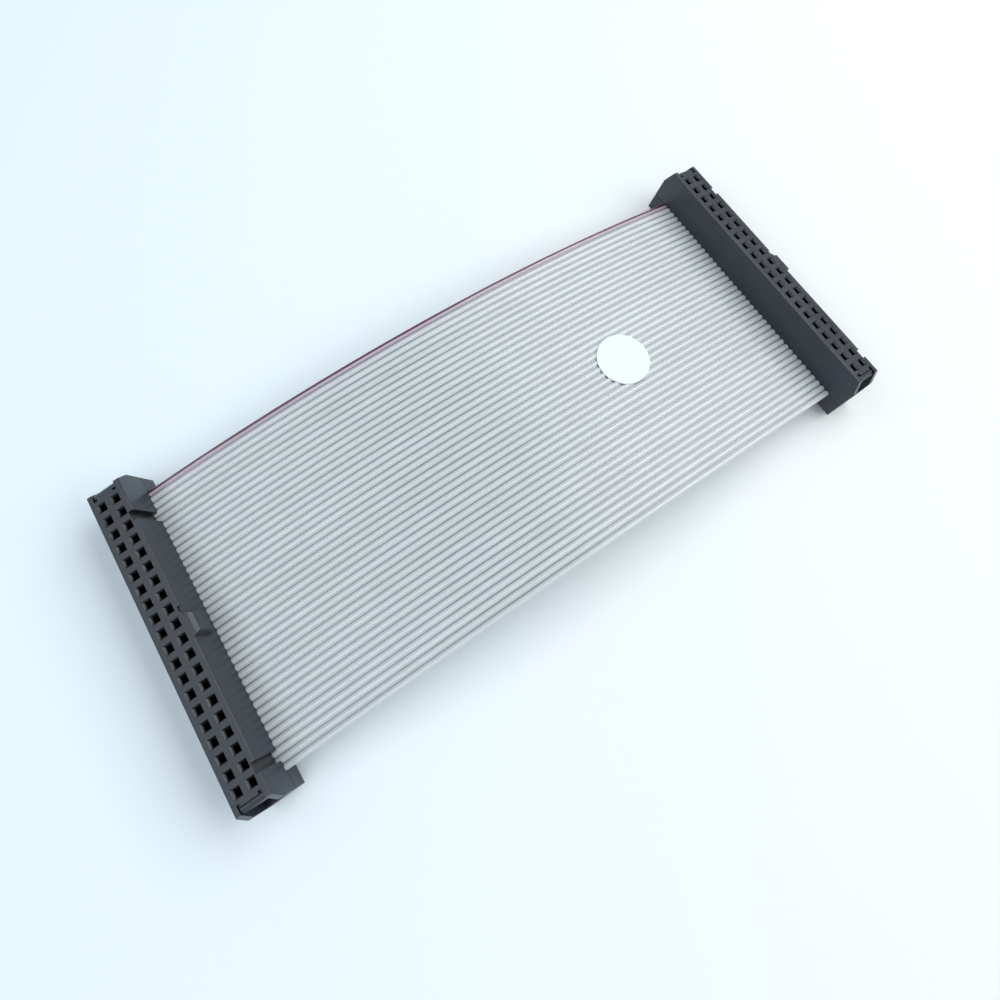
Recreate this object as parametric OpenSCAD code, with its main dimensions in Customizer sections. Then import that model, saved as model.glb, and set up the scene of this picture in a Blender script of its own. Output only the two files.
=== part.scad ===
// Flat ribbon cable with an insulation-displacement socket pressed on at each end.
// X runs along the ribbon, Y along the sockets with wire 1 at +Y, and Z is up.
// Both sockets stand on Z = 0 on the outer bottom edges of their covers.

/* [Ribbon] */
// Number of wires side by side
wires = 40; // [16:8:64]
// Distance from one wire to the next
wire_pitch = 1.27; // [1.2:0.01:1.5]
// Length of ribbon between the two sockets
span = 114; // [60:1:300]
// Height of a ridge of the jacket
ridge_d = 0.95; // [0.85:0.01:1.05]
// Thickness of the web between two ridges
web_t = 0.4; // [0.3:0.05:0.6]
// Diameter of a wire's copper
copper_d = 0.36; // [0.25:0.01:0.4]

/* [Arch] */
// Angle through which the ribbon bends between the sockets
arch_turn = 28.5; // [10:0.5:36]

/* [Socket] */
// Distance between the two rows of holes
row_gap = 2.54; // [2.4:0.01:3]
// Width of the socket across its two rows
socket_w = 6.1; // [5.8:0.1:8]
// Height of the mating face above the ribbon's middle plane
face_h = 7.5; // [7:0.1:10]
// Depth of the cover below the ribbon's middle plane
cover_t = 3.35; // [2.8:0.05:5]
// Run of the socket past the centre of its last hole
end_run = 3.9; // [3.7:0.1:6]
// Radius along the long edges of the mating face
edge_r = 0.3; // [0.1:0.05:0.5]
// Slope of the end cheeks, measured along the socket
cheek_cut = 1.1; // [0.4:0.1:1.4]
// Slope of the end cheeks, measured down from the mating face
cheek_drop = 3; // [1:0.1:4]

/* [Holes] */
// Width of a square hole at the mating face
mouth_w = 1.56; // [1.3:0.02:1.8]
// Depth of the tapered lead-in of a hole
mouth_depth = 0.45; // [0.2:0.05:0.8]
// Width of the straight throat below the lead-in
throat_w = 1; // [0.8:0.05:1.2]
// Length of the straight throat
throat_h = 0.4; // [0.2:0.05:0.8]

/* [Key] */
// Width of the polarising key at the wall
key_w = 4; // [3:0.1:6]
// Distance that the key stands proud of the wall
key_out = 1; // [0.5:0.1:1.6]
// Height of the key, down from the mating face
key_h = 5.2; // [3:0.1:6]
// Bevel along the key's corners
key_bevel = 0.5; // [0.1:0.05:0.6]
// Width of the small relief beside the key
relief_w = 0.9; // [0.5:0.1:1.5]
// Depth of the small relief beside the key
relief_depth = 0.5; // [0.3:0.05:0.6]

/* [Wall notches] */
// Width of the notches in the key-side wall
notch_w = 1.7; // [1:0.1:2.4]
// Depth of the notches in the key-side wall
notch_depth = 0.8; // [0.4:0.05:0.9]
// Place of the first notch, in from the first hole
notch_first = 4.1; // [3:0.1:6]
// Place of the last notch, in from the last hole
notch_last = 1.4; // [1:0.1:2.6]

/* [Latch] */
// Thickness of the cheeks beside the end pockets
cheek_t = 0.95; // [0.7:0.05:1.3]
// Start of the end pocket, out from the last hole's centre
pocket_start = 1.85; // [1.7:0.05:2.2]
// Thickness of the cover's latch arm
arm_t = 0.9; // [0.7:0.05:1.2]
// Drop of the arm's top below the mating face
arm_drop = 0.25; // [0.1:0.05:0.6]
// Reach of the tooth on the arm
tooth_out = 0.35; // [0.2:0.05:0.45]
// Height of the tooth on the arm
tooth_h = 1.4; // [1:0.1:2]
// Height of the tooth's flat catch above the ribbon's middle plane
tooth_z = 4.2; // [3.5:0.1:5]
// Length of the small corner reliefs of the end pocket
corner_w = 0.6; // [0.3:0.1:0.9]

/* [Contact] */
// Thickness of the contact's strip
strip_t = 0.4; // [0.3:0.02:0.5]
// Width of the contact across its two beams
contact_w = 1.9; // [1.7:0.05:2]
// Width of the fork that straddles a wire
fork_w = 1; // [0.9:0.05:1.1]
// Reach of the fork below the ribbon's middle plane
fork_reach = 1.6; // [1.2:0.05:2]
// Thickness of the body's floor under the contact's shoulder
floor_t = 0.7; // [0.5:0.05:1]
// Height of the contact's shoulder plate
shoulder_h = 1.1; // [0.8:0.05:1.5]
// Gap between the beams where they grip a pin
grip_gap = 0.5; // [0.4:0.02:0.6]
// Room for the pin beside the strip, each side
pin_room = 0.3; // [0.25:0.05:0.4]
// Room below the fork's tips in the cover
tip_room = 0.2; // [0.1:0.05:0.4]

/* [Label] */
// Diameter of the round paper label
label_d = 10; // [6:0.5:20]
// Thickness of the label
label_t = 0.12; // [0.08:0.01:0.25]
// Place of the label's centre along the span, as a share of it
label_at = 0.72; // [0.2:0.01:0.8]

/* [Fits] */
// Clearance of copper in its jacket, all round
copper_fit = 0.01; // [0.005:0.005:0.03]
// Clearance of the jacket in the socket, all round
jacket_fit = 0.02; // [0.01:0.01:0.05]
// Clearance of a contact in its cavity, each side
contact_fit = 0.03; // [0.02:0.01:0.05]
// Clearance of the latch arm in its pocket, each side
arm_fit = 0.1; // [0.05:0.05:0.15]
// Gap of the label over the ridges
label_fit = 0.01; // [0.005:0.005:0.03]

/* [Hidden] */
$fn = 48;
slack = 1;                                  // overshoot of every cutter past its face
copper_groups = 8;
contact_groups = 4;
columns = wires / 2;
pin_pitch = 2 * wire_pitch;
ribbon_w = wires * wire_pitch;
half_len = (columns - 1) * pin_pitch / 2 + end_run;
bend_r = span * 180 / (PI * arch_turn);      // radius of the ribbon's middle plane
sag = pow(socket_w / 2, 2) / (2 * bend_r);  // how far the ribbon curves inside a socket
groove_fit = jacket_fit + sag;
half_gap = web_t / 2 + groove_fit;          // the body and the cover stop this far from the middle plane
end_inset = 0.15;                           // the ribbon's cut end stops inside the socket's wall
cavity_floor = half_gap + floor_t;
cavity_top = face_h - mouth_depth - throat_h;
cavity_w = strip_t + 2 * pin_room;
pocket_y = half_len - end_run + pocket_start;
pocket_w = socket_w - 2 * cheek_t;

function wire_y(k) = (wires + 1 - 2 * k) * wire_pitch / 2;
function column_y(c) = (columns + 1 - 2 * c) * pin_pitch / 2;
function arch_angle(length) = length * 180 / (PI * bend_r);

// Both sockets stand on the outer bottom edges of their covers
lean = arch_angle((span + socket_w) / 2);
function seen_x(p) = p[0] * cos(lean) + (bend_r + p[1]) * sin(lean);
function seen_z(p) = (bend_r + p[1]) * cos(lean) - p[0] * sin(lean);
foot = [socket_w / 2, -cover_t];
left_end = max(seen_x(foot), seen_x([socket_w / 2 - edge_r, face_h - edge_r]) + edge_r);
right_end = max(
    left_end,
    seen_x([socket_w / 2 + key_out, face_h - key_bevel]),
    seen_x([socket_w / 2 + key_out - key_bevel, face_h])
);
shift_x = (left_end - right_end) / 2;
shift_z = -seen_z(foot);

// Placing

// The arch's centre of curvature is the middle of this frame
module at_centre() translate([shift_x, 0, shift_z]) children();

module on_arch(angle) at_centre() rotate([0, angle, 0]) translate([0, 0, bend_r]) children();

module at_left() on_arch(-lean) children();

module at_right() on_arch(lean) children();

// Sweeps a section, drawn with its thickness along X and its width along Y, over the top of the arch
module arch(half_turn) {
    rotate([0, -90 - half_turn, 0]) rotate([-90, 0, 0])
        rotate_extrude(angle = 2 * half_turn) translate([bend_r, 0]) children();
}

module whole_arch() at_centre() arch(arch_angle(span / 2 + socket_w - end_inset)) children();

// The ribbon

module wire_dots(d, first = 1, count = wires) {
    for (k = [first:first + count - 1]) translate([0, wire_y(k)]) circle(d = d);
}

module jacket_section() {
    difference() {
        union() {
            wire_dots(ridge_d);
            square([web_t, ribbon_w - wire_pitch], center = true);
        }
        wire_dots(copper_d + 2 * copper_fit);
    }
}

module fork_holes(grow, depth_up, depth_down) {
    for (k = [1:wires])
        translate([row_x(k), wire_y(k), (depth_up - depth_down) / 2])
            cube([strip_t + 2 * grow, fork_w + 2 * grow, depth_up + depth_down], center = true);
}

module ribbon_jacket() {
    color("lightgray") difference() {
        whole_arch() jacket_section();
        at_left() fork_holes(contact_fit, ridge_d, ridge_d);
        at_right() fork_holes(contact_fit, ridge_d, ridge_d);
    }
}

module copper(group) {
    count = wires / copper_groups;
    color("peru") whole_arch() wire_dots(copper_d, 1 + (group - 1) * count, count);
}

// The contacts: odd wires feed one row of holes and even wires the other

function row_x(k) = (k % 2 == 1 ? -1 : 1) * row_gap / 2;
function fork_side(k) = k % 2 == 1 ? 1 : -1;

// Half of the outline of a two-pronged end: tip, inside of the slot and the slot's closed end
function fork_outline(side) = let (
    mid = side * wire_pitch / 2, half = fork_w / 2, slot = copper_d / 2 + copper_fit,
    tip = 0.12, taper = 0.45, roof = copper_d / 2 + 0.1
) [
    [mid - half, cavity_floor],
    [mid - half, taper - fork_reach],
    [mid - slot - tip, -fork_reach],
    [mid - slot, tip - fork_reach],
    [mid - slot, roof],
    [mid + slot, roof],
    [mid + slot, tip - fork_reach],
    [mid + slot + tip, -fork_reach],
    [mid + half, taper - fork_reach],
    [mid + half, cavity_floor]
];

function beam_outline() = let (
    half = contact_w / 2, grip = grip_gap / 2, root = cavity_floor + shoulder_h,
    top = cavity_top - 0.2, flare = 0.35, waist = 0.2
) [
    [half, cavity_floor],
    [half, top - 2 * flare],
    [half - waist, top],
    [grip + waist, top],
    [grip, top - flare],
    [grip, top - 2 * flare],
    [grip + waist, top - 4 * flare],
    [grip + waist, root + flare],
    [grip, root],
    [-grip, root],
    [-grip - waist, root + flare],
    [-grip - waist, top - 4 * flare],
    [-grip, top - 2 * flare],
    [-grip, top - flare],
    [-grip - waist, top],
    [waist - half, top],
    [-half, top - 2 * flare],
    [-half, cavity_floor]
];

module contact(k) {
    column = ceil(k / 2);
    translate([row_x(k) - strip_t / 2, column_y(column), 0])
        rotate([90, 0, 90]) linear_extrude(strip_t)
            polygon(concat(fork_outline(fork_side(k)), beam_outline()));
}

module contacts(group) {
    count = wires / contact_groups;
    color("gold") for (k = [1 + (group - 1) * count:group * count]) contact(k);
}

// The socket's body

module along_y(length) rotate([90, 0, 0]) linear_extrude(length, center = true) children();

module along_x(length) rotate([90, 0, 90]) linear_extrude(length, center = true) children();

module body_section() {
    flat = socket_w / 2 - edge_r;
    translate([-socket_w / 2, half_gap]) square([socket_w, face_h - edge_r - half_gap]);
    translate([-flat, half_gap]) square([2 * flat, face_h - half_gap]);
    for (x = [-flat, flat]) translate([x, face_h - edge_r]) circle(edge_r);
}

module key() {
    out = socket_w / 2 + key_out;
    half = key_w / 2;
    intersection() {
        translate([0, 0, face_h - key_h]) linear_extrude(key_h) polygon([
            [socket_w / 2 - slack, -half], [socket_w / 2, -half], [out, key_bevel - half],
            [out, half - key_bevel], [socket_w / 2, half], [socket_w / 2 - slack, half]
        ]);
        along_y(key_w) polygon([
            [0, 0], [out - key_out, face_h - key_h], [out, face_h - key_h + key_out],
            [out, face_h - key_bevel], [out - key_bevel, face_h], [0, face_h]
        ]);
    }
}

module taper(at) {
    low = face_h - mouth_depth;
    grow = (mouth_w - throat_w) / 2;
    rise = slack * grow / mouth_depth;
    polygon([
        [at - throat_w / 2, low], [at + throat_w / 2, low],
        [at + mouth_w / 2 + rise, face_h + slack], [at - mouth_w / 2 - rise, face_h + slack]
    ]);
}

module mouths() {
    intersection() {
        along_x(socket_w) for (c = [1:columns]) taper(column_y(c));
        along_y(2 * half_len) for (side = [-1, 1]) taper(side * row_gap / 2);
    }
}

module cavities() {
    wide = contact_w + 2 * contact_fit;
    for (c = [1:columns], side = [-1, 1]) translate([side * row_gap / 2, column_y(c), 0]) {
        translate([-throat_w / 2, -throat_w / 2, cavity_top - slack])
            cube([throat_w, throat_w, throat_h + slack]);
        translate([-cavity_w / 2, -wide / 2, cavity_floor])
            cube([cavity_w, wide, cavity_top - cavity_floor]);
    }
}

module ridge_grooves() {
    rotate([90, 0, 90]) linear_extrude(socket_w + 2 * slack, center = true)
        rotate(90) wire_dots(ridge_d + 2 * groove_fit);
}

module end_pocket() {
    translate([-pocket_w / 2, pocket_y, 0]) cube([pocket_w, end_run, face_h + slack]);
    recess = tooth_out + arm_fit;
    translate([-pocket_w / 2, pocket_y - recess, 0]) cube([pocket_w, recess + slack, tooth_z + arm_fit]);
    for (x = [-1, 1]) translate([x * (pocket_w - corner_w) / 2, pocket_y, face_h])
        cube([corner_w, relief_w, 2 * relief_depth], center = true);
}

module cheek_slope() {
    reach = slack * cheek_cut / cheek_drop;
    along_x(socket_w + 2 * slack) polygon([
        [half_len + slack, face_h + slack], [half_len - cheek_cut - reach, face_h + slack],
        [half_len, face_h - cheek_drop], [half_len + slack, face_h - cheek_drop]
    ]);
}

module wall_notch(y) {
    translate([socket_w / 2 - notch_depth, y - notch_w / 2, -slack])
        cube([notch_depth + slack, notch_w, face_h + 2 * slack]);
}

module socket_body() {
    color([0.2, 0.22, 0.25]) difference() {
        union() {
            along_y(2 * half_len) body_section();
            key();
        }
        mouths();
        cavities();
        ridge_grooves();
        fork_holes(contact_fit, cavity_floor + slack, 0);
        for (side = [0, 1]) mirror([0, side, 0]) {
            end_pocket();
            cheek_slope();
        }
        wall_notch(column_y(1) - notch_first);
        wall_notch(column_y(columns) + notch_last);
        translate([socket_w / 2, key_w / 2 + relief_w, face_h])
            cube([2 * relief_depth, relief_w, 2 * relief_depth], center = true);
    }
}

// The socket's cover

module latch_arm() {
    wide = pocket_w - 2 * arm_fit;
    inner = pocket_y + arm_fit;
    top = face_h - arm_drop;
    along_x(wide) polygon([
        [inner, -half_gap - slack], [inner + arm_t, -half_gap - slack],
        [inner + arm_t, top - arm_t / 2], [inner + arm_t / 2, top], [inner, top],
        [inner, tooth_z], [inner - tooth_out, tooth_z],
        [inner - tooth_out, tooth_z - tooth_h / 3], [inner, tooth_z - tooth_h]
    ]);
}

// The cover's rims close the socket beyond the ribbon's edges
module end_rim() {
    rim_y = ribbon_w / 2;
    translate([-socket_w / 2, rim_y, -half_gap - slack])
        cube([socket_w, half_len - rim_y, 2 * half_gap + slack - arm_fit]);
}

module socket_cover() {
    color([0.17, 0.19, 0.22]) {
        difference() {
            translate([-socket_w / 2, -half_len, -cover_t])
                cube([socket_w, 2 * half_len, cover_t - half_gap]);
            ridge_grooves();
            fork_holes(contact_fit, 0, fork_reach + tip_room);
        }
        for (side = [0, 1]) mirror([0, side, 0]) {
            end_rim();
            latch_arm();
        }
    }
}

// The label lies on the ridges and bends with them

module round_label() {
    color("white") at_centre() rotate([0, arch_angle((label_at - 0.5) * span), 0]) intersection() {
        arch(arch_angle(label_d)) translate([ridge_d / 2 + label_fit, -label_d])
            square([label_t, 2 * label_d]);
        cylinder(h = 2 * bend_r, d = label_d);
    }
}

ribbon_jacket();
copper(1);  // copper_1
copper(2);  // copper_2
copper(3);  // copper_3
copper(4);  // copper_4
copper(5);  // copper_5
copper(6);  // copper_6
copper(7);  // copper_7
copper(8);  // copper_8
at_left() socket_body();  // left_body
at_left() socket_cover();  // left_cover
at_left() contacts(1);  // left_contacts_1
at_left() contacts(2);  // left_contacts_2
at_left() contacts(3);  // left_contacts_3
at_left() contacts(4);  // left_contacts_4
at_right() socket_body();  // right_body
at_right() socket_cover();  // right_cover
at_right() contacts(1);  // right_contacts_1
at_right() contacts(2);  // right_contacts_2
at_right() contacts(3);  // right_contacts_3
at_right() contacts(4);  // right_contacts_4
round_label();
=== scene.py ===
import math

import bpy
from mathutils import Euler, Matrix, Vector


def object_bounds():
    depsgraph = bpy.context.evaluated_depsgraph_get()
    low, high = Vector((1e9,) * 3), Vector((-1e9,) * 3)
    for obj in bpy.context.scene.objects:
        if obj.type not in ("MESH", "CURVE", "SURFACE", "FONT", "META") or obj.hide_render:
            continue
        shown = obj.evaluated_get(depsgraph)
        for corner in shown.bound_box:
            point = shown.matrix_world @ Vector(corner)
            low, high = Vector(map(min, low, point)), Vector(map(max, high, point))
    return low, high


bl_info = {
    "name": "Flat ribbon cable",
    "version": (1, 0, 0),
    "blender": (4, 5, 0),
    "location": "View3D > Sidebar > Ribbon cable",
    "description": "Finishes a flat ribbon cable with a press-on socket at each end, and lights it",
    "category": "Object",
}

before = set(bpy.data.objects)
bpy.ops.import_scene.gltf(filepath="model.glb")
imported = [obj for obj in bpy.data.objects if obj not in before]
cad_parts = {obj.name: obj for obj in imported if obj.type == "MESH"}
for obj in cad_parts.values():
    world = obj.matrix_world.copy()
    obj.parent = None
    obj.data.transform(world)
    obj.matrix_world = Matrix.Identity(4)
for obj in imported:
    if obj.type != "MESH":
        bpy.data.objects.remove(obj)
cad_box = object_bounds()

MM = 0.001
BLACK = (0.0, 0.0, 0.0, 1.0)
ENDS = ("left", "right")
COPPER_NODES = sorted(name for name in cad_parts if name.startswith("copper_"))
CONTACT_NODES = sorted(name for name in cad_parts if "_contacts_" in name)

# Holes and slots narrower than this are darkened, because hardly any light gets into them
RECESS_MM = 1.3
# How far the floor goes from the middle, in half diagonals of the object's box
FLOOR_REACHES = 12


def from_hex(code, alpha=True):
    """Turns an sRGB hex colour into the linear values that shaders use."""
    channels = [int(code[place:place + 2], 16) / 255 for place in (1, 3, 5)]
    linear = [c / 12.92 if c <= 0.04045 else ((c + 0.055) / 1.055) ** 2.4 for c in channels]
    return tuple(linear) + ((1.0,) if alpha else ())


def per_mm(size_mm):
    """The texture scale at which one feature of the pattern is size_mm across."""
    return 1 / (size_mm * MM)


def length(name, description, millimetres):
    """A length property in metres, with its default given in millimetres."""
    return bpy.props.FloatProperty(
        name=name, description=description, default=millimetres * MM,
        unit="LENGTH", subtype="DISTANCE", precision=5, min=0,
    )


def colour(name, description, code):
    """A colour property, with its default given as sRGB hex."""
    return bpy.props.FloatVectorProperty(
        name=name, description=description, default=from_hex(code),
        subtype="COLOR", size=4, min=0, max=1,
    )


def share(name, description, default):
    """A property between 0 and 1."""
    return bpy.props.FloatProperty(
        name=name, description=description, default=default, subtype="FACTOR", min=0, max=1,
    )


def power(name, description, watts):
    """A lamp's power in watts."""
    return bpy.props.FloatProperty(
        name=name, description=description, default=watts, unit="POWER", min=0,
    )


class JacketSettings(bpy.types.PropertyGroup):
    wire_pitch: length("Wire pitch", "Distance from one wire to the next", 1.27)
    edge_reach: length("Edge", "From the ribbon's middle to the outer edge of its last pitch", 25.4)
    grey: colour("Grey", "Colour of the unmarked PVC", "#cfd6d9")
    # The valley colour stands for settled dirt and for painted shade in the webs
    valley: colour("Valley", "Colour in the webs, where dust settles", "#747b83")
    marked: colour("Mark", "Dye down the outer side of the first wire", "#5c163a")
    # The pink below is a painted reflection of the red mark on the grey skin beside it
    reflected_red: colour("Bleed", "Skin of the first wire, where the dye has crept", "#eddde8")
    mark_reach: share("Mark width", "How far the mark reaches into the first wire's pitch", 0.56)
    roughness: share("Roughness", "Gloss of the extruded skin", 0.34)


class CopperSettings(bpy.types.PropertyGroup):
    metal: colour("Copper", "Colour of the drawn copper", "#c9805c")
    strand: length("Strand", "Diameter of one fine strand", 0.12)


class SocketSettings(bpy.types.PropertyGroup):
    body: colour("Body", "Colour of the body's polyester", "#1b222c")
    body_pale: colour("Pale body", "Colour where the glass fibres lie close to the skin", "#262f3a")
    cover: colour("Cover", "Colour of the cover's polyester", "#1a2029")
    cover_pale: colour("Pale cover", "Colour of the cover where the fibres show", "#232a34")
    edge: length("Edge radius", "Radius that the mould leaves on every edge", 0.05)
    roughness: share("Roughness", "Gloss of the moulded skin", 0.34)


class ContactSettings(bpy.types.PropertyGroup):
    plating: colour("Plating", "Colour of the thin gold over nickel", "#b3985f")
    nickel: colour("Nickel", "Colour where the gold is thinnest", "#9c978a")


class LabelSettings(bpy.types.PropertyGroup):
    paper: colour("Paper", "Colour of the coated face", "#e8f0f0")
    fibre: colour("Fibres", "Colour where the paper's fibres show", "#d9e0e1")
    ridge_print: share("Ridge print", "How far the ridges show through the paper", 0.25)


class StageSettings(bpy.types.PropertyGroup):
    floor_cool: colour("Cool floor", "Floor colour on the shaded side", "#e9f6fd")
    floor_white: colour("White floor", "Floor colour on the lit side", "#eef2f2")
    sky: share("Sky", "Strength of the even light from all round", 0.35)
    key: power("Key light", "Power of the large soft light over the right side", 6.8)
    fill: power("Fill light", "Power of the weaker light over the left side", 2.5)
    lens: bpy.props.FloatProperty(
        name="Lens", description="Focal length on a 36 mm sensor", default=28.58,
        unit="CAMERA", min=1,
    )
    rise: bpy.props.FloatProperty(
        name="Shift", description="Vertical shift of the lens, in frame widths", default=-0.15,
    )
    camera_place: bpy.props.FloatVectorProperty(
        name="Camera", description="Place of the camera",
        default=(-32.71 * MM, -31.88 * MM, 140.85 * MM), subtype="TRANSLATION", unit="LENGTH",
    )
    camera_turn: bpy.props.FloatVectorProperty(
        name="Camera angles", description="Turn of the camera about X, Y and Z",
        default=tuple(math.radians(angle) for angle in (24.561, -3.41, -33.587)),
        subtype="EULER", unit="ROTATION",
    )


SETTINGS = {
    "jacket": JacketSettings,
    "copper": CopperSettings,
    "sockets": SocketSettings,
    "contacts": ContactSettings,
    "label": LabelSettings,
    "stage": StageSettings,
}


def new_material(name):
    material = bpy.data.materials.new(name)
    material.use_nodes = True
    return material, material.node_tree, material.node_tree.nodes["Principled BSDF"]


def plug(tree, node, inputs):
    """Gives a node its inputs, each as a plain value or as the socket that feeds it."""
    for name, value in inputs.items():
        if isinstance(value, bpy.types.NodeSocket):
            tree.links.new(value, node.inputs[name])
        else:
            node.inputs[name].default_value = value


def add(tree, kind, inputs, **settings):
    """Adds a node with its settings, and gives it its inputs."""
    node = tree.nodes.new(kind)
    for name, value in settings.items():
        setattr(node, name, value)
    plug(tree, node, inputs)
    return node


def compute(tree, operation, *values):
    inputs = dict(enumerate(values))
    return add(tree, "ShaderNodeMath", inputs, operation=operation).outputs[0]


def mixed(tree, factor, first, second, blend="MIX"):
    # A colour mix takes its two colours at places 6 and 7 and gives its result at place 2
    inputs = {"Factor": factor, 6: first, 7: second}
    return add(tree, "ShaderNodeMix", inputs, data_type="RGBA", blend_type=blend).outputs[2]


def noise(tree, place, size_mm, detail=3.0, roughness=0.5, stretch=(1, 1, 1)):
    """Noise with features size_mm across, drawn out along an axis whose stretch is above 1."""
    scaled = add(
        tree, "ShaderNodeMapping",
        {"Vector": place, "Scale": tuple(1 / factor for factor in stretch)},
    ).outputs["Vector"]
    inputs = {"Vector": scaled, "Scale": per_mm(size_mm), "Detail": detail, "Roughness": roughness}
    return add(tree, "ShaderNodeTexNoise", inputs).outputs["Fac"]


def object_place(tree):
    return add(tree, "ShaderNodeTexCoord", {}).outputs["Object"]


def axis_of(tree, place, axis):
    return add(tree, "ShaderNodeSeparateXYZ", {"Vector": place}).outputs[axis]


def bump(tree, height, depth_mm, strength):
    inputs = {"Height": height, "Distance": depth_mm * MM, "Strength": strength}
    return add(tree, "ShaderNodeBump", inputs).outputs["Normal"]


def range_of(tree, value, low, high, new_low=0.0, new_high=1.0, smooth=False):
    inputs = {
        "Value": value, "From Min": low, "From Max": high, "To Min": new_low, "To Max": new_high,
    }
    kind = "SMOOTHSTEP" if smooth else "LINEAR"
    return add(tree, "ShaderNodeMapRange", inputs, interpolation_type=kind).outputs["Result"]


def spread(tree, pattern, new_low, new_high):
    """Spreads a noise over a new range. Nearly all of its values lie between 0.3 and 0.7."""
    return range_of(tree, pattern, 0.3, 0.7, new_low, new_high)


def scaled_colour(linear, factor):
    """A linear colour made darker or brighter, with nothing above 1."""
    return tuple(min(1, channel * factor) for channel in linear[:3]) + (1.0,)


def with_painted_recess_shade(tree, skin, only_local):
    """Paints shade into a colour down narrow holes and slots, darkening it to a tenth where they
    are most closed in.
    """
    open_share = add(
        tree, "ShaderNodeAmbientOcclusion", {"Color": skin, "Distance": RECESS_MM * MM},
        samples=6, only_local=only_local,
    ).outputs["AO"]
    shade = range_of(tree, open_share, 0.8, 0.97, 0.1, 1, smooth=True)
    return mixed(tree, shade, BLACK, skin)


def extruded_pvc(settings):
    """Plasticised PVC, extruded over the wires: a satin skin with streaks drawn along each ridge,
    and the webs between them dusty and darkened further with painted shade."""
    material, tree, shader = new_material("extruded_pvc")
    place = object_place(tree)

    # Wires are counted from the marked edge. Off the crown is 0 on a ridge and 0.5 in a web
    from_edge = compute(tree, "SUBTRACT", settings.edge_reach, axis_of(tree, place, "Y"))
    wire = compute(tree, "DIVIDE", from_edge, settings.wire_pitch)
    phase = compute(tree, "SUBTRACT", compute(tree, "FRACT", wire), 0.5)
    off_crown = compute(tree, "ABSOLUTE", phase)

    # The webs are darker: settled dirt, and painted shade where less light reaches them
    dust_and_painted_shade = range_of(tree, off_crown, 0.32, 0.47, smooth=True)
    grey = mixed(tree, dust_and_painted_shade, tuple(settings.grey), tuple(settings.valley))
    # Painted reflection of the red mark: the rest of the first wire is tinted pink, fading out
    # across the second
    red_reflection = range_of(tree, wire, 0.95, 1.6, 1, 0, smooth=True)
    grey = mixed(tree, red_reflection, grey, tuple(settings.reflected_red), blend="MULTIPLY")

    # The dyed stripe wavers a little, as it does where the die feeds it in
    waver = noise(tree, place, 4, stretch=(3, 1, 1))
    stripe_end = spread(tree, waver, settings.mark_reach - 0.05, settings.mark_reach + 0.05)
    past_stripe = compute(tree, "SUBTRACT", wire, stripe_end)
    dyed = range_of(tree, past_stripe, 0, 0.12, 1, 0, smooth=True)
    skin = mixed(tree, dyed, grey, tuple(settings.marked))

    # The skin was drawn through the die, so its marks run along the wires. Each wire has a tone
    # of its own, and clouds and pores break it up
    streaks = noise(tree, place, 0.25, stretch=(60, 1, 1))
    clouds = noise(tree, place, 9, detail=2)
    pores = noise(tree, place, 0.12, detail=4, stretch=(2, 1, 1))
    own_tone = add(
        tree, "ShaderNodeTexWhiteNoise", {"W": compute(tree, "FLOOR", wire)},
        noise_dimensions="1D",
    ).outputs["Value"]
    tone = spread(tree, streaks, 0.95, 1.02)
    for offset in (
        range_of(tree, own_tone, 0, 1, -0.035, 0.02),
        spread(tree, clouds, -0.025, 0.015),
        range_of(tree, pores, 0.35, 0.65, -0.04, 0.04),
    ):
        tone = compute(tree, "ADD", tone, offset)
    toned = add(tree, "ShaderNodeHueSaturation", {"Color": skin, "Value": tone}).outputs["Color"]

    plug(tree, shader, {
        "Base Color": toned,
        "Roughness": spread(tree, streaks, settings.roughness - 0.05, settings.roughness + 0.07),
        "Normal": bump(tree, compute(tree, "ADD", streaks, pores), 0.012, 0.25),
        "IOR": 1.54,
        "Specular IOR Level": 0.8,
        "Subsurface Weight": 0.15,
        "Subsurface Radius": (0.4, 0.4, 0.4),
        "Subsurface Scale": 0.6 * MM,
        "Coat Weight": 0.5,
        "Coat Roughness": 0.3,
    })
    return material


def drawn_copper(settings):
    """Soft copper, drawn to fine strands and twisted: bright metal with the strands' lay across it.
    The lay is drawn about four strands wide, since single strands are too fine to show."""
    material, tree, shader = new_material("drawn_copper")
    place = object_place(tree)
    lay = add(
        tree, "ShaderNodeTexWave",
        {"Vector": place, "Scale": per_mm(settings.strand / MM) / 6, "Distortion": 1.5},
        bands_direction="DIAGONAL",
    ).outputs["Fac"]
    tarnish = noise(tree, place, 0.6)
    dulled = range_of(tree, tarnish, 0.4, 0.8, 0, 0.5)
    plug(tree, shader, {
        "Base Color": mixed(
            tree, dulled, tuple(settings.metal), scaled_colour(settings.metal, 0.7),
        ),
        "Metallic": 1.0,
        "Roughness": spread(tree, tarnish, 0.22, 0.4),
        "Normal": bump(tree, lay, 0.03, 0.6),
    })
    return material


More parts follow.
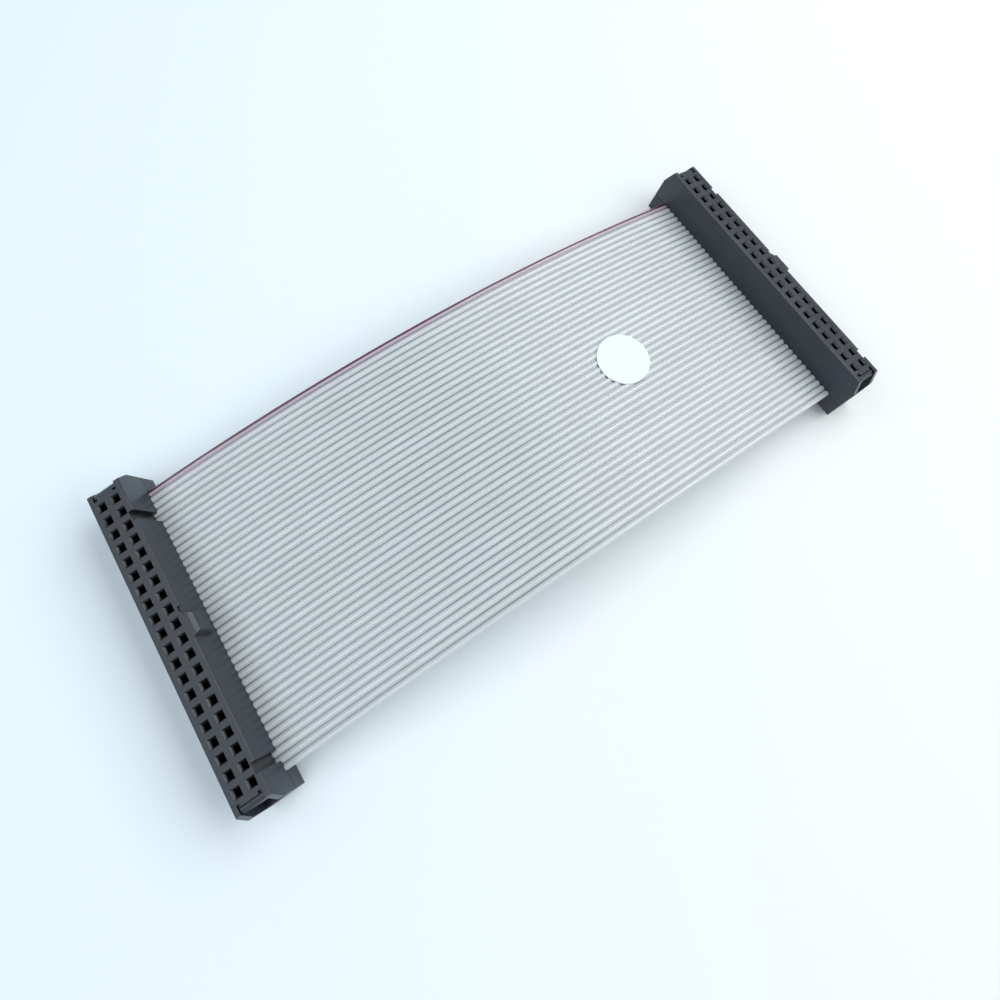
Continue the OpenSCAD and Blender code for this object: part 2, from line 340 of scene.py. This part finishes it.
def moulded_polyester(name, dark, pale, roughness):
    """Glass-filled polyester, injection moulded: near-black satin, clouded where fibres lie near
    the skin, with fine scuffs from handling that are paler and duller."""
    material, tree, shader = new_material(name)
    place = object_place(tree)
    flow = noise(tree, place, 3.2, detail=4, stretch=(1, 3, 1))
    fibres = noise(tree, place, 0.09, detail=2, stretch=(1, 4, 1))
    grain = noise(tree, place, 0.22, detail=5, roughness=0.6)
    wear = noise(tree, place, 0.4, detail=8, roughness=0.8)

    flecks = range_of(tree, fibres, 0.6, 0.8, 0, 0.35)
    scuffs = range_of(tree, wear, 0.54, 0.68, 0, 0.3)
    skin = mixed(tree, range_of(tree, flow, 0.35, 0.7), dark, pale)
    skin = mixed(tree, flecks, skin, scaled_colour(pale, 2.2))
    skin = mixed(tree, scuffs, skin, scaled_colour(pale, 3.5))
    gloss = compute(
        tree, "ADD", spread(tree, flow, roughness - 0.06, roughness + 0.08),
        compute(tree, "MULTIPLY", scuffs, 0.5),
    )
    plug(tree, shader, {
        # Painted shade darkens the skin down the narrow holes and slots
        "Base Color": with_painted_recess_shade(tree, skin, only_local=True),
        "Roughness": gloss,
        "Normal": bump(tree, grain, 0.014, 0.55),
        "IOR": 1.57,
        "Specular IOR Level": 0.55,
    })
    return material


def gold_flashed_bronze(settings):
    """Phosphor bronze strip, stamped and flashed with gold over nickel: warm metal, streaked along
    the strip by its rolling."""
    material, tree, shader = new_material("gold_flashed_bronze")
    place = object_place(tree)
    rolling = noise(tree, place, 0.1, detail=3, stretch=(1, 1, 14))
    thin = range_of(tree, noise(tree, place, 0.8), 0.5, 0.75)
    metal = mixed(tree, thin, tuple(settings.plating), tuple(settings.nickel))
    plug(tree, shader, {
        # Painted shade darkens the metal down the narrow holes
        "Base Color": with_painted_recess_shade(tree, metal, only_local=False),
        "Metallic": 1.0,
        "Roughness": spread(tree, rolling, 0.2, 0.36),
        "Normal": bump(tree, rolling, 0.006, 0.6),
    })
    return material


def coated_paper(settings, wire_pitch):
    """Coated label paper, die-cut: white and softly glossy, with the ridges below just printed
    through it."""
    material, tree, shader = new_material("coated_paper")
    place = object_place(tree)
    fibres = noise(tree, place, 0.3, detail=6, roughness=0.7)
    showing = range_of(tree, fibres, 0.45, 0.8, 0, 0.7)
    turns = compute(tree, "MULTIPLY", axis_of(tree, place, "Y"), 2 * math.pi / wire_pitch)
    ridges = range_of(tree, compute(tree, "SINE", turns), -1, 1)
    height = compute(
        tree, "ADD", compute(tree, "MULTIPLY", ridges, settings.ridge_print),
        compute(tree, "MULTIPLY", fibres, 0.1),
    )
    plug(tree, shader, {
        "Base Color": mixed(tree, showing, tuple(settings.paper), tuple(settings.fibre)),
        "Roughness": spread(tree, fibres, 0.42, 0.55),
        "Normal": bump(tree, height, 0.12, 0.5),
        "IOR": 1.5,
    })
    return material


def pale_laminate(settings, reach):
    """Pale laminate table top, pressed smooth: matt, cooler on the shaded side, with a faint cloud
    so that it isn't dead flat."""
    material, tree, shader = new_material("pale_laminate")
    place = object_place(tree)
    # The two factors point from the picture's left to its right, across the floor
    along = compute(
        tree, "SUBTRACT",
        compute(tree, "MULTIPLY", axis_of(tree, place, "X"), 0.83),
        compute(tree, "MULTIPLY", axis_of(tree, place, "Y"), 0.55),
    )
    lit = range_of(tree, along, -reach, reach, smooth=True)
    clouds = spread(tree, noise(tree, place, 60, detail=1), 0, 0.04)
    tone = mixed(tree, lit, tuple(settings.floor_cool), tuple(settings.floor_white))
    plug(tree, shader, {
        "Base Color": mixed(tree, clouds, tone, tuple(settings.floor_cool)),
        "Roughness": 0.75,
        "Specular IOR Level": 0.2,
    })
    return material


def finish_with(node_names, material):
    """Gives the CAD nodes their only material."""
    for name in node_names:
        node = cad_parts[name]
        node.data.materials.clear()
        node.data.materials.append(material)


def round_edges(node, radius):
    """Rounds a moulded piece's edges without touching its own mesh."""
    weld = node.modifiers.new("Join seams", "WELD")
    weld.merge_threshold = 0.001 * MM
    # Only whole faces take a clean bevel, so the triangles of one flat face become one
    whole = node.modifiers.new("Whole faces", "DECIMATE")
    whole.decimate_type = "DISSOLVE"
    whole.angle_limit = math.radians(0.5)
    bevel = node.modifiers.new("Mould radius", "BEVEL")
    bevel.width = radius
    bevel.segments = 2
    bevel.limit_method = "ANGLE"
    bevel.angle_limit = math.radians(30)
    bevel.use_clamp_overlap = True
    flat = node.modifiers.new("Flat faces", "WEIGHTED_NORMAL")
    flat.weight = 100
    flat.keep_sharp = False


class RIBBON_OT_jacket(bpy.types.Operator):
    """Finish the ribbon's jacket, with its first wire marked"""
    bl_idname = "ribbon.jacket"
    bl_label = "Ribbon jacket"

    def execute(self, context):
        finish_with(["ribbon_jacket"], extruded_pvc(context.scene.ribbon_jacket))
        return {"FINISHED"}


class RIBBON_OT_copper(bpy.types.Operator):
    """Finish the copper of all the wires"""
    bl_idname = "ribbon.copper"
    bl_label = "Copper wires"

    def execute(self, context):
        finish_with(COPPER_NODES, drawn_copper(context.scene.ribbon_copper))
        return {"FINISHED"}


class RIBBON_OT_sockets(bpy.types.Operator):
    """Finish the sockets' bodies and covers, with rounded edges"""
    bl_idname = "ribbon.sockets"
    bl_label = "Sockets"

    def execute(self, context):
        settings = context.scene.ribbon_sockets
        shells = {
            "body": (tuple(settings.body), tuple(settings.body_pale)),
            "cover": (tuple(settings.cover), tuple(settings.cover_pale)),
        }
        for shell, (dark, pale) in shells.items():
            material = moulded_polyester(f"polyester_{shell}", dark, pale, settings.roughness)
            names = [f"{end}_{shell}" for end in ENDS]
            finish_with(names, material)
            for name in names:
                round_edges(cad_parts[name], settings.edge)
        return {"FINISHED"}


class RIBBON_OT_contacts(bpy.types.Operator):
    """Finish the contacts in both sockets"""
    bl_idname = "ribbon.contacts"
    bl_label = "Contacts"

    def execute(self, context):
        finish_with(CONTACT_NODES, gold_flashed_bronze(context.scene.ribbon_contacts))
        return {"FINISHED"}


class RIBBON_OT_label(bpy.types.Operator):
    """Finish the round blank label"""
    bl_idname = "ribbon.label"
    bl_label = "Round label"

    def execute(self, context):
        pitch = context.scene.ribbon_jacket.wire_pitch
        finish_with(["round_label"], coated_paper(context.scene.ribbon_label, pitch))
        return {"FINISHED"}


def soft_panel(name, place, size, watts, tint):
    """A level panel of even light, facing down."""
    lamp = bpy.data.lights.new(name, "AREA")
    lamp.shape = "RECTANGLE"
    lamp.size, lamp.size_y = size
    lamp.energy = watts
    lamp.color = from_hex(tint, alpha=False)
    light = bpy.data.objects.new(name, lamp)
    light.location = place
    light.visible_camera = False
    bpy.context.scene.collection.objects.link(light)


def build_floor(settings, reach):
    """A plain floor under the object, wide enough for every view."""
    side = FLOOR_REACHES * reach
    mesh = bpy.data.meshes.new("floor")
    corners = [(-side, -side, 0), (side, -side, 0), (side, side, 0), (-side, side, 0)]
    mesh.from_pydata(corners, [], [(0, 1, 2, 3)])
    mesh.materials.append(pale_laminate(settings, reach))
    floor = bpy.data.objects.new("floor", mesh)
    bpy.context.scene.collection.objects.link(floor)


def build_sky(settings):
    """An even pale light from all round."""
    world = bpy.data.worlds.new("studio")
    world.use_nodes = True
    background = world.node_tree.nodes["Background"]
    background.inputs["Color"].default_value = from_hex("#f1f7fc")
    background.inputs["Strength"].default_value = settings.sky
    bpy.context.scene.world = world


def build_camera(settings):
    """A camera at the photograph's viewing angle, high over the left half."""
    camera = bpy.data.cameras.new("camera")
    camera.sensor_width = 36
    camera.lens = settings.lens
    camera.shift_y = settings.rise
    camera.clip_start = MM
    camera.clip_end = 10
    holder = bpy.data.objects.new("camera", camera)
    holder.location = settings.camera_place
    holder.rotation_euler = Euler(settings.camera_turn, "XYZ")
    bpy.context.scene.collection.objects.link(holder)
    bpy.context.scene.camera = holder


class RIBBON_OT_stage(bpy.types.Operator):
    """Make the floor, the light and the camera"""
    bl_idname = "ribbon.stage"
    bl_label = "Studio"

    def execute(self, context):
        settings = context.scene.ribbon_stage
        low, high = cad_box
        middle = (low + high) / 2
        reach = (high - low).length / 2
        build_floor(settings, reach)
        build_sky(settings)
        # The arched ribbon mirrors the key in its right half, the fill in its left end and the
        # darker gap between the two in its middle. Places and sizes are in reaches
        panels = {
            "key": ((7.9, -2, 8), (10.8, 15), settings.key, "#ffffff"),
            "fill": ((-5.8, 0, 8), (8.1, 15), settings.fill, "#f4faff"),
        }
        for name, (place, size, watts, tint) in panels.items():
            lengths = [side * reach for side in size]
            soft_panel(name, middle + Vector(place) * reach, lengths, watts, tint)
        build_camera(settings)
        context.scene.view_settings.view_transform = "Standard"
        return {"FINISHED"}


OPERATORS = (
    RIBBON_OT_jacket,
    RIBBON_OT_copper,
    RIBBON_OT_sockets,
    RIBBON_OT_contacts,
    RIBBON_OT_label,
    RIBBON_OT_stage,
)


class RIBBON_PT_sidebar(bpy.types.Panel):
    """Lists the cable's pieces with their sizes and colours"""
    bl_idname = "RIBBON_PT_sidebar"
    bl_label = "Ribbon cable"
    bl_space_type = "VIEW_3D"
    bl_region_type = "UI"
    bl_category = "Ribbon cable"

    def draw(self, context):
        for operator, (name, group) in zip(OPERATORS, SETTINGS.items()):
            box = self.layout.box()
            box.operator(operator.bl_idname)
            for field in group.__annotations__:
                box.prop(getattr(context.scene, f"ribbon_{name}"), field)


def register():
    for name, group in SETTINGS.items():
        bpy.utils.register_class(group)
        setattr(bpy.types.Scene, f"ribbon_{name}", bpy.props.PointerProperty(type=group))
    for piece in (*OPERATORS, RIBBON_PT_sidebar):
        bpy.utils.register_class(piece)


def unregister():
    for piece in (RIBBON_PT_sidebar, *reversed(OPERATORS)):
        bpy.utils.unregister_class(piece)
    for name, group in reversed(SETTINGS.items()):
        delattr(bpy.types.Scene, f"ribbon_{name}")
        bpy.utils.unregister_class(group)


def main():
    register()
    bpy.ops.ribbon.jacket()
    bpy.ops.ribbon.copper()
    bpy.ops.ribbon.sockets()
    bpy.ops.ribbon.contacts()
    bpy.ops.ribbon.label()
    bpy.ops.ribbon.stage()


if __name__ == "__main__":
    main()
